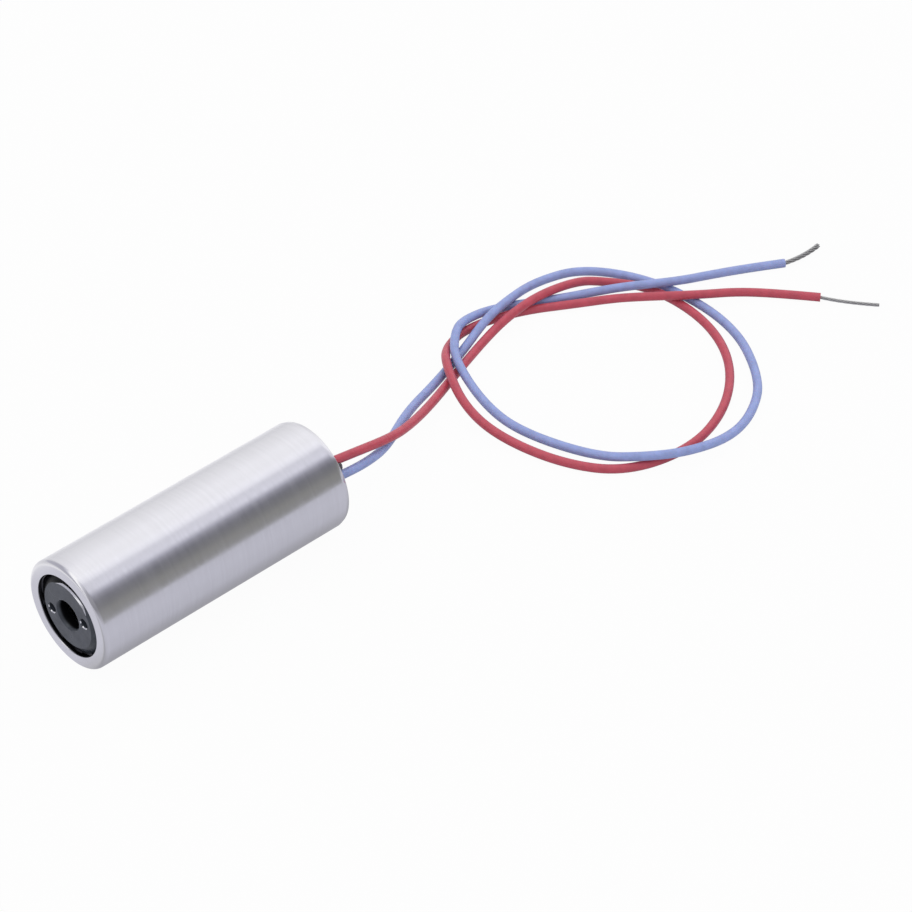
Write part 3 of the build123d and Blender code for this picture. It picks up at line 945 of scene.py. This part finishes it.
def edge_wear_and_glint(angle):
    """How far the barrel's front edge is worn and bright at an angle from +X towards +Z, from 0 to 1;
    partly wear, partly a painted highlight.
    """
    return min(1, max(0, (WEAR_AND_GLINT_REACH - abs(math.degrees(angle) - WEAR_AND_GLINT_MIDDLE)) / WEAR_AND_GLINT_FADE))


def barrel_edge_wear_and_glint(row, angle):
    """Whether a face of the barrel's outline is bright bare metal: partly wear, partly a painted
    highlight.
    """
    return row == WEAR_AND_GLINT_ROW and edge_wear_and_glint(angle) > 0


def hole_edge_wear_and_glint(bearing):
    """Whether a spanner hole's chamfer is bright bare metal at a bearing in degrees: partly wear, partly a
    painted highlight.
    """
    return any(low < bearing < high for low, high in WEAR_AND_GLINT_HOLE_BEARINGS)


def barrel_outline(settings):
    """Rows of the focusing barrel's outline: countersunk face, thread outside and lens pocket."""
    front, back = BARREL_FACE, BARREL_HIGH.y
    least_wear, wear_range = 0.01 * MM, 0.11 * MM
    mouth, mouth_bevel = 1.15 * MM, 0.02 * MM
    face_rows = [1.18 * MM, 1.24 * MM, 2.2 * MM, BARREL_FACE_RADIUS]
    cone_back, thread_front, thread_back = front + 0.32 * MM, front + 0.34 * MM, back - 0.1 * MM
    pocket, pocket_bevel = BARREL_RADIUS - 0.65 * MM, 0.05 * MM
    seat = pocket - 0.55 * MM
    shoulder = LENS_LOW.y + LENS_RISE
    plate_back = front + 0.7 * MM
    land = plate_back - 0.35 * MM
    depth, pitch = settings.barrel_thread_depth, settings.thread_pitch

    def rows(angle):
        wear = least_wear + wear_range * edge_wear_and_glint(angle)
        outline = [(front + mouth_bevel, mouth)]
        outline += [(front, radius) for radius in face_rows]
        outline += [(front + wear * 0.8, BARREL_FACE_RADIUS + wear)]
        outline += [(cone_back, BARREL_RADIUS - 0.03 * MM)]
        outline += thread_rows(thread_front, thread_back, BARREL_RADIUS, depth, pitch, angle)
        outline += [(back, BARREL_RADIUS - 0.1 * MM), (back, pocket + pocket_bevel)]
        outline += [(back - pocket_bevel, pocket), (shoulder, pocket), (shoulder, seat)]
        outline += [(plate_back, seat), (plate_back, APERTURE_RADIUS), (land, APERTURE_RADIUS)]
        return outline

    return rows


def hole_cutter(angle, reach, radius, front, sides=40):
    """Cutter for a blind hole with a small chamfer at its mouth and a drilled point."""
    clear, chamfer, depth, tip_depth = 0.3 * MM, 0.06 * MM, 0.45 * MM, 0.58 * MM
    rings = [
        (front - clear, radius + clear + chamfer),
        (front + chamfer, radius),
        (front + depth, radius),
    ]
    x, height = reach * math.cos(angle), AXIS_HEIGHT + reach * math.sin(angle)
    points = []
    for station, size in rings:
        for corner in range(sides):
            turn = math.tau * corner / sides
            points.append((x + size * math.cos(turn), station, height + size * math.sin(turn)))
    tip, last = len(points), len(points) - sides
    points.append((x, front + tip_depth, height))
    faces = ring_faces(0, len(rings), sides)
    faces += [(last + corner, last + (corner + 1) % sides, tip) for corner in range(sides)]
    faces.append(tuple(range(sides)))
    mesh = plain_mesh("hole_cutter", points, faces)
    for face in mesh.polygons:
        # Chamfer faces at the listed bearings take the bare metal, placed where a highlight falls: partly
        # wear, partly painted highlight.
        face.material_index = int(face.index < sides and hole_edge_wear_and_glint(360 * face.index / sides))
    return add_object("hole_cutter", mark_sharp_edges(mesh))


def lens_mesh(segments=96):
    """Plano-convex lens with its dome towards the front, a flat rim and a ground edge."""
    front, back = LENS_LOW.y, LENS_HIGH.y
    shoulder, rim, bevel = front + LENS_RISE, 0.5 * MM, 0.08 * MM
    half = LENS_RADIUS - rim
    radius = (half * half + LENS_RISE * LENS_RISE) / (2 * LENS_RISE)
    steps = 24
    outline = []
    for step in range(steps + 1):
        turn = math.asin(half / radius) * step / steps
        outline.append((front + radius * (1 - math.cos(turn)), radius * math.sin(turn)))
    outline += [(shoulder, LENS_RADIUS - bevel), (shoulder + bevel, LENS_RADIUS)]
    outline += [(back - bevel, LENS_RADIUS), (back, LENS_RADIUS - bevel), (back, 0.0)]
    return turned_mesh("lens_element", lambda angle: outline, segments)


def mound_height(distance):
    """Height of the resin's mound at a distance from its middle, in millimetres."""
    for (near, height), (far, far_height) in zip(MOUND_HEIGHTS, MOUND_HEIGHTS[1:]):
        if distance <= far:
            share = (distance - near) / (far - near)
            eased = share * share * (3 - 2 * share) * 0.25 + share * 0.75
            return height + (far_height - height) * eased
    return 0.0


def resin_mesh(segments=96, rings=40):
    """Resin plug whose rear face draws up into a mound round the wires."""
    rim, sunk = TUBE_HIGH.y, 0.06
    middle = Vector((0.35, -0.35))
    radius = RESIN_RADIUS / MM
    crowding, lump_scale, lump_height = 1.35, 1.5, 0.03
    creep_height, creep_width = 0.10, 0.1
    points = []
    for ring in range(rings + 1):
        share = (ring / rings) ** crowding
        for corner in range(segments):
            turn = math.tau * corner / segments
            place = middle * (1 - share) + Vector((math.cos(turn), math.sin(turn))) * radius * share
            reach = (place - middle).length
            lump = noise.noise(Vector((place.x * lump_scale, place.y * lump_scale, 3.1)))
            creep = creep_height * max(0.0, share - 1 + creep_width) / creep_width
            mound = mound_height(reach * (1 + 0.1 * lump)) + lump_height * lump * (1 - share)
            rise = mound + creep - sunk
            points.append((place.x * MM, rim + rise * MM, AXIS_HEIGHT + place.y * MM))
    for corner in range(segments):
        turn = math.tau * corner / segments
        points.append(turned_point(turn, RESIN_BOTTOM, RESIN_RADIUS))
    faces = ring_faces(0, rings + 2, segments)
    faces.append(tuple(range(len(points) - segments, len(points))))
    return mark_sharp_edges(plain_mesh("resin_mound", points, faces))


# Floor and light


def build_floor(settings):
    """Large pale floor that looks nearly white to the camera and keeps the shadow."""
    size = 3.0
    corners = [(-size, -size, 0), (size, -size, 0), (size, size, 0), (-size, size, 0)]
    floor = add_object("floor", plain_mesh("floor", corners, [(0, 1, 2, 3)]))
    material = bpy.data.materials.new("floor_paper")
    tree = Tree(material)
    tree.tree.nodes.clear()
    ray = tree.node("ShaderNodeLightPath").outputs
    paper = tree.node("ShaderNodeBsdfDiffuse", (*settings.floor_colour, 1)).outputs[0]
    place = tree.node("ShaderNodeTexCoord").outputs["Object"]
    beside = tree.maths("MULTIPLY", tree.node("ShaderNodeSeparateXYZ", place).outputs["X"], 1 / MM)
    white = tree.glow("ShaderNodeEmission", WHITE, 1.0)
    mirrored = tree.glow("ShaderNodeEmission", tree.tones(beside, FLOOR_TONES), BRIGHTEST_TONE)
    seen = tree.maths("MULTIPLY", ray["Is Camera Ray"], settings.floor_whiteness)
    shine = tree.maths("MULTIPLY", ray["Is Glossy Ray"], settings.floor_shine)
    surface = tree.mix(shine, tree.mix(seen, paper, white), mirrored)
    tree.node("ShaderNodeOutputMaterial", surface)
    floor.data.materials.append(material)


def build_world(scene, settings):
    """White to the camera, soft light from above, and soft bands for metal to mirror."""
    scene.world = bpy.data.worlds.new("studio")
    tree = Tree(scene.world)
    tree.tree.nodes.clear()
    ray = tree.node("ShaderNodeLightPath").outputs
    direction = tree.node("ShaderNodeTexCoord").outputs["Generated"]
    x, y, z = tree.node("ShaderNodeSeparateXYZ", direction).outputs
    bearing = tree.maths("DEGREES", tree.maths("ARCTAN2", x, z))
    ahead = tree.between(y, 0, 1, SIDE_LIMIT, 0)
    tone = tree.blend(ahead, tree.tones(bearing, SIDE_TONES), tree.tones(bearing, FRONT_TONES))
    light = tree.between(z, settings.sky_side, settings.sky_top)
    soft = tree.glow("ShaderNodeBackground", WHITE, light)
    mirrored = tree.glow("ShaderNodeBackground", tone, BRIGHTEST_TONE)
    white = tree.glow("ShaderNodeBackground", WHITE, 1.0)
    seen = tree.mix(ray["Is Camera Ray"], tree.mix(ray["Is Glossy Ray"], soft, mirrored), white)
    tree.node("ShaderNodeOutputWorld", seen)


# Operators


class LASERMODULE_OT_camera(bpy.types.Operator):
    """Sets up the camera at the photograph's angle"""

    bl_idname = "laser_module.camera"
    bl_label = "Camera"

    def execute(self, context):
        settings = context.scene.laser_module_stage
        data = bpy.data.cameras.new("photo_camera")
        data.lens = settings.camera_lens
        data.sensor_width = 36
        data.clip_start = 0.005
        data.clip_end = 20
        camera = add_object("photo_camera", data)
        camera.location = settings.camera_location
        tilt = math.pi / 2 - settings.camera_elevation
        camera.rotation_euler = (tilt, 0, settings.camera_azimuth)
        context.scene.camera = camera
        return {"FINISHED"}


class LASERMODULE_OT_wires(bpy.types.Operator):
    """Lays the two wires with their bare twisted tips"""

    bl_idname = "laser_module.wires"
    bl_label = "Wires"

    def execute(self, context):
        settings = context.scene.laser_module_wires
        bare = tinned()
        # Each wire's name, line, length and colour, its strands' thickness and how far they spread.
        wires = [
            ("red", RED_ROUTE, RED_TIP, RED_LENGTH, settings.red_colour, 0.85, 1.05),
            ("blue", BLUE_ROUTE, BLUE_TIP, BLUE_LENGTH, settings.blue_colour, 1.1, 1.25),
        ]
        for name, route, tip, length, colour, thick, spread in wires:
            wire = wire_curve(f"{name}_insulated_wire", route, WIRE_RADIUS)
            sleeve = insulation(f"{name}_insulation", tuple(colour))
            finished(wire, [sleeve], "module", f"{name}_insulation", f"{name}_wire")
            strands = strand_mesh(
                f"{name}_tip_strands", tip, settings.strand_radius * thick, settings.strand_lay, spread
            )
            bundle = add_object(f"{name}_tip_strands", strands)
            finished(bundle, [bare], "module", "tinned_metal", f"{name}_wire_tip")
        return {"FINISHED"}


class LASERMODULE_OT_tube(bpy.types.Operator):
    """Turns the metal tube with its focusing thread"""

    bl_idname = "laser_module.tube"
    bl_label = "Tube"

    def execute(self, context):
        settings = context.scene.laser_module_tube
        mesh = turned_mesh("turned_tube", tube_outline(settings), settings.segments)
        tube = add_object("turned_tube", mesh)
        metal = turned_metal(tuple(settings.metal_colour), settings.metal_roughness)
        finished(tube, [metal], "module", "turned_metal", "housing")
        return {"FINISHED"}


class LASERMODULE_OT_focusing_barrel(bpy.types.Operator):
    """Turns the focusing barrel and drills its two spanner holes"""

    bl_idname = "laser_module.focusing_barrel"
    bl_label = "Focusing barrel"

    def execute(self, context):
        tube = context.scene.laser_module_tube
        settings = context.scene.laser_module_barrel
        mesh = turned_mesh("focusing_barrel", barrel_outline(tube), tube.segments, barrel_edge_wear_and_glint)
        barrel = add_object("focusing_barrel", mesh)
        finishes = [black_anodised(tuple(settings.anodised_colour)), bare_edge_wear_and_glint()]
        finished(barrel, finishes, "lens_cell", "black_metal", "lens_barrel")
        for side in (0, math.pi):
            turn = settings.hole_angle + side
            cutter = hole_cutter(turn, settings.hole_reach, settings.hole_radius, BARREL_FACE)
            for finish in finishes:
                cutter.data.materials.append(finish)
            cut(barrel, cutter)
        mark_sharp_edges(barrel.data)
        return {"FINISHED"}


class LASERMODULE_OT_lens(bpy.types.Operator):
    """Makes the collimating lens and finishes its ring and the diode's window"""

    bl_idname = "laser_module.lens"
    bl_label = "Lens and its ring"

    def execute(self, context):
        settings = context.scene.laser_module_barrel
        glass = coated_glass(tuple(settings.coating_colour))
        lens = add_object("lens_element", lens_mesh())
        finished(lens, [glass], "lens_cell", "lens_glass", "collimating_lens")
        finish_node("lens_retaining_ring", brass())
        finish_node("diode_window", glass)
        return {"FINISHED"}


class LASERMODULE_OT_focus_spring(bpy.types.Operator):
    """Winds the spring that the focusing barrel turns in against"""

    bl_idname = "laser_module.focus_spring"
    bl_label = "Focus spring"

    def execute(self, context):
        spring = add_object("wound_spring", spring_mesh())
        spring.data.materials.append(spring_wire())
        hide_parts("focus_spring")
        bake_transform(spring)
        return {"FINISHED"}


class LASERMODULE_OT_diode(bpy.types.Operator):
    """Gives the laser diode's parts their finishes"""

    bl_idname = "laser_module.diode"
    bl_label = "Laser diode"

    def execute(self, context):
        gold = plated("gold_plate", (0.83, 0.60, 0.24), 0.22)
        chips = crystal()
        finish_node("diode_stem", gold)
        finish_node("bond_wires", gold)
        for index in (1, 2, 3):
            finish_node(f"diode_lead_{index}", gold)
        finish_node("diode_cap", plated("nickel_plate", (0.66, 0.64, 0.60), 0.26))
        finish_node("lead_glass_seals", fused_glass())
        finish_node("chip_submount", sintered("submount_ceramic", (0.82, 0.81, 0.76)))
        finish_node("laser_chip", chips)
        finish_node("monitor_photodiode", chips)
        return {"FINISHED"}


class LASERMODULE_OT_driver(bpy.types.Operator):
    """Gives the driver board and what it carries their finishes"""

    bl_idname = "laser_module.driver"
    bl_label = "Driver board"

    def execute(self, context):
        bare = tinned()
        finish_node("driver_board", solder_mask())
        finish_node("driver_transistor", moulded_plastic())
        for node in ("transistor_legs", "lead_solder_joints", "wire_solder_joints", "conductor_tails"):
            finish_node(node, bare)
        black, tan = (0.03, 0.03, 0.035), (0.42, 0.29, 0.17)
        resistor = capped_chip("chip_resistor", black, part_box("chip_resistors"), 0.3 * MM)
        finish_node("chip_resistors", resistor)
        capacitor = capped_chip("chip_capacitor", tan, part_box("filter_capacitor"), 0.4 * MM)
        finish_node("filter_capacitor", capacitor)
        return {"FINISHED"}


class LASERMODULE_OT_resin(bpy.types.Operator):
    """Casts the black resin that holds the wires at the rear"""

    bl_idname = "laser_module.resin"
    bl_label = "Rear resin"

    def execute(self, context):
        resin = add_object("resin_mound", resin_mesh())
        finished(resin, [cast_resin()], "module", "black_resin", "rear_potting")
        return {"FINISHED"}


class LASERMODULE_OT_stage(bpy.types.Operator):
    """Lays the pale floor and sets the studio light"""

    bl_idname = "laser_module.stage"
    bl_label = "Floor and light"

    def execute(self, context):
        settings = context.scene.laser_module_stage
        scene = context.scene
        scene.view_settings.view_transform = "Standard"
        build_floor(settings)
        build_world(scene, settings)
        return {"FINISHED"}


class LASERMODULE_PT_build(bpy.types.Panel):
    """Buttons that build the module, and the sizes and colours behind them"""

    bl_label = "Laser Module"
    bl_idname = "LASERMODULE_PT_build"
    bl_space_type = "VIEW_3D"
    bl_region_type = "UI"
    bl_category = "Laser Module"

    def draw(self, context):
        for operator in OPERATORS:
            self.layout.operator(operator.bl_idname)
        for group in GROUPS:
            settings = getattr(context.scene, group)
            box = self.layout.box()
            for name in settings.__annotations__:
                box.prop(settings, name)


GROUPS = {
    "laser_module_tube": LaserModuleTube,
    "laser_module_barrel": LaserModuleBarrel,
    "laser_module_wires": LaserModuleWires,
    "laser_module_stage": LaserModuleStage,
}
OPERATORS = [
    LASERMODULE_OT_camera,
    LASERMODULE_OT_wires,
    LASERMODULE_OT_tube,
    LASERMODULE_OT_focusing_barrel,
    LASERMODULE_OT_lens,
    LASERMODULE_OT_focus_spring,
    LASERMODULE_OT_diode,
    LASERMODULE_OT_driver,
    LASERMODULE_OT_resin,
    LASERMODULE_OT_stage,
]


def register():
    for kind in (*GROUPS.values(), *OPERATORS, LASERMODULE_PT_build):
        bpy.utils.register_class(kind)
    for name, kind in GROUPS.items():
        setattr(bpy.types.Scene, name, PointerProperty(type=kind))


def unregister():
    for name in GROUPS:
        delattr(bpy.types.Scene, name)
    for kind in reversed((*GROUPS.values(), *OPERATORS, LASERMODULE_PT_build)):
        bpy.utils.unregister_class(kind)


def main():
    register()
    bpy.ops.laser_module.camera()
    bpy.ops.laser_module.wires()
    bpy.ops.laser_module.tube()
    bpy.ops.laser_module.focusing_barrel()
    bpy.ops.laser_module.lens()
    bpy.ops.laser_module.focus_spring()
    bpy.ops.laser_module.diode()
    bpy.ops.laser_module.driver()
    bpy.ops.laser_module.resin()
    bpy.ops.laser_module.stage()


if __name__ == "__main__":
    main()
